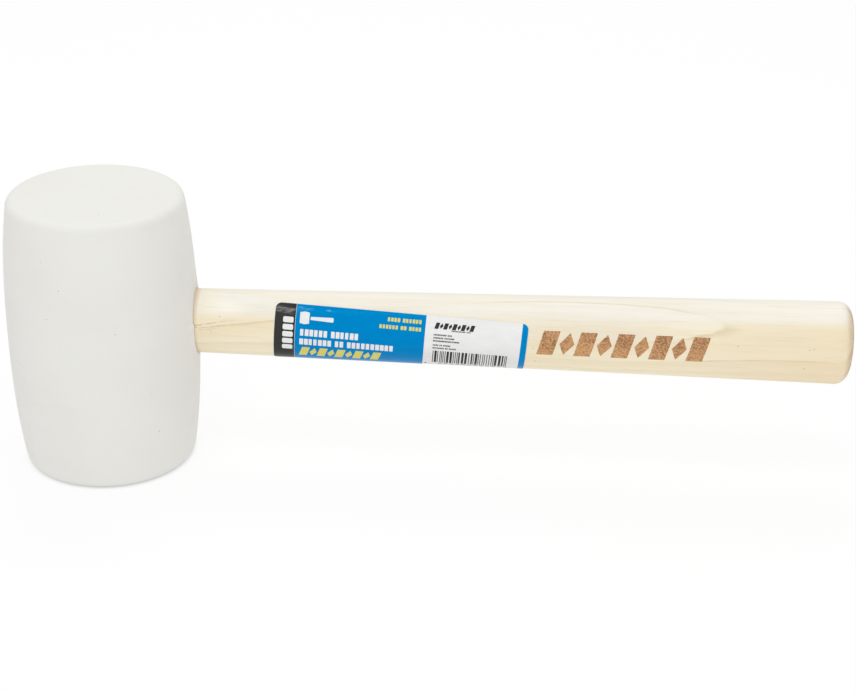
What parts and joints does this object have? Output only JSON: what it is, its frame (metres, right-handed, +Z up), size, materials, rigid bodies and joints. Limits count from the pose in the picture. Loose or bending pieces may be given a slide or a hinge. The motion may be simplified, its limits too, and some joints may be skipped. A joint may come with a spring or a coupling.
{
  "type": "rubber mallet",
  "caption": "Rubber mallet: a barrel-shaped white rubber head on a straight oval hardwood handle, wedged in the head's eye, with a label round the handle.",
  "frame": {"origin": "centre of the lower striking face", "axes": "+Z up along the head's axis, +X out along the handle towards the grip, -Y the side with the label"},
  "size_m": [0.3959, 0.09, 0.1335],
  "materials": {
    "white_rubber": "matte",
    "pale_hardwood": "sanded, clear satin",
    "wedge_hardwood": "matte",
    "wedge_steel": "satin",
    "label_vinyl": "gloss"
  },
  "bodies": {
    "root": {"head": "white_rubber", "handle": "pale_hardwood", "wood_wedge": "wedge_hardwood", "steel_wedge_upper": "wedge_steel", "steel_wedge_lower": "wedge_steel", "label": "label_vinyl"}
  },
  "joints": []
}
